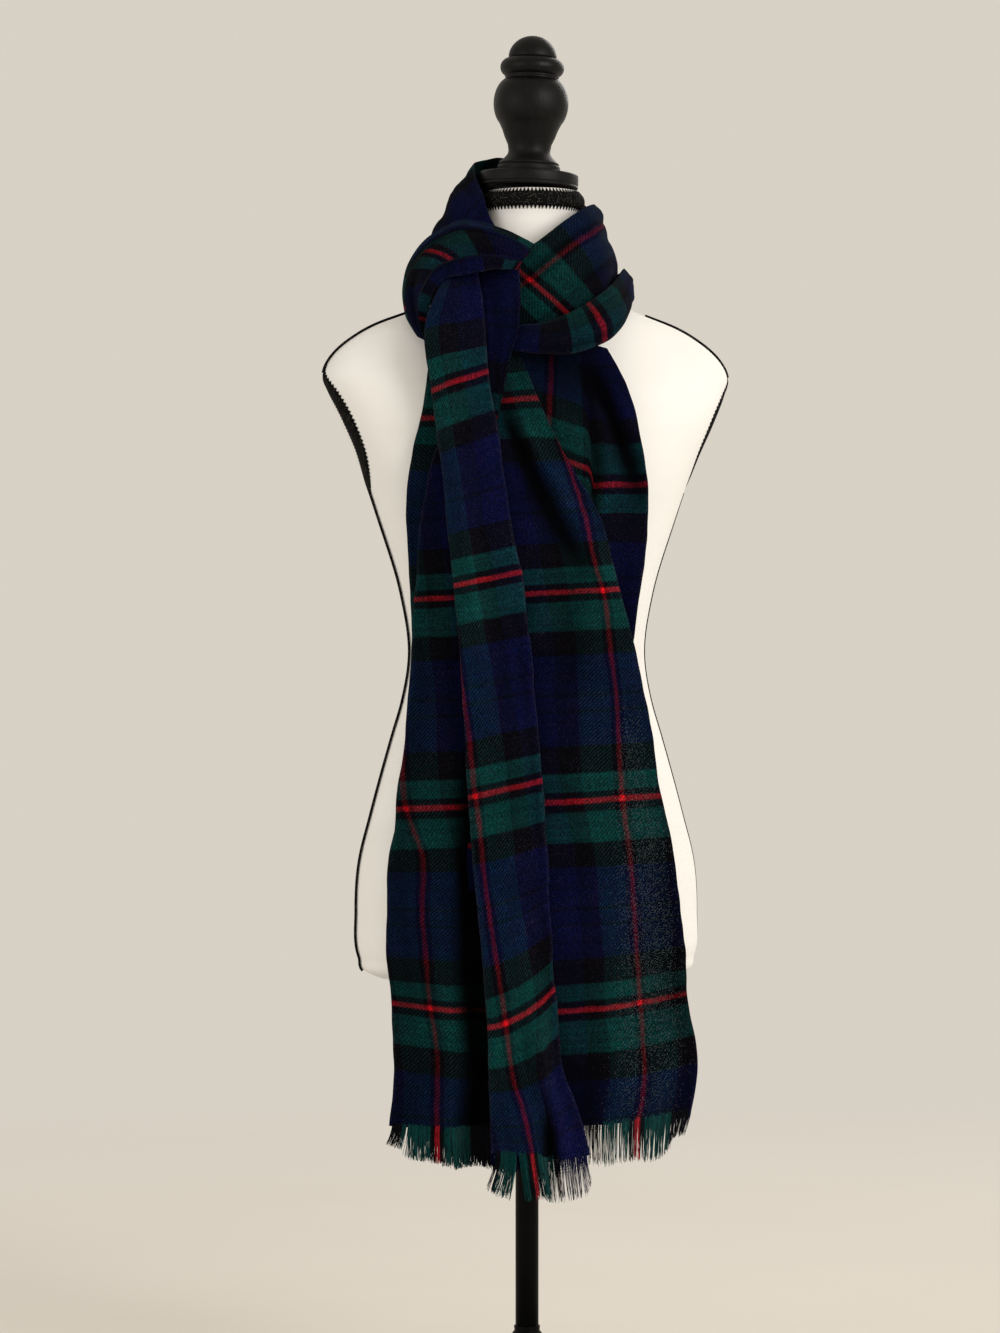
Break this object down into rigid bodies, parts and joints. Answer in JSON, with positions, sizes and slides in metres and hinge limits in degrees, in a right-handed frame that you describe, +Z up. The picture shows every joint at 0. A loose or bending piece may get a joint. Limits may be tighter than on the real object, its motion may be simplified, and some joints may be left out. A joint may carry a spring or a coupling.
{
  "type": "tartan blanket scarf on a limbless dress form",
  "caption": "Fringed tartan wool scarf looped round the neck of a limbless dress form, its ends hanging down the front, on a pole stand with a turned finial.",
  "frame": {"origin": "on the pole's axis at the underside of the base plate", "axes": "+Z up the pole, the front of the form faces -Y, +X to the viewer's right"},
  "size_m": [0.3952, 0.32, 1.3152],
  "materials": {
    "scarf_wool": "brushed twill, matt",
    "scarf_fringe": "loose wool yarn, matt",
    "form_jersey": "tight knitted jersey, matt",
    "black_trim": "braided tape and cord, matt",
    "black_wood": "black stain, satin",
    "black_metal": "black powder coat, satin"
  },
  "bodies": {
    "root": {"wrap_back": "scarf_wool", "loop_front": "scarf_wool", "wrap_right_upper": "scarf_wool", "wrap_right_lower": "scarf_wool", "tail_front": "scarf_wool", "tail_pleat": "scarf_wool", "tail_wide": "scarf_wool", "tail_under": "scarf_wool", "fringe_front": "scarf_fringe", "fringe_wide": "scarf_fringe", "fringe_under": "scarf_fringe", "neck_tape": "black_trim", "armhole_tape_left": "black_trim", "armhole_tape_right": "black_trim", "shoulder_piping_left": "black_trim", "shoulder_piping_right": "black_trim", "side_piping_left": "black_trim", "side_piping_right": "black_trim", "torso": "form_jersey", "neck_cap": "black_wood", "finial": "black_wood", "pole": "black_metal", "hub": "black_metal", "base_plate": "black_metal"}
  },
  "joints": []
}
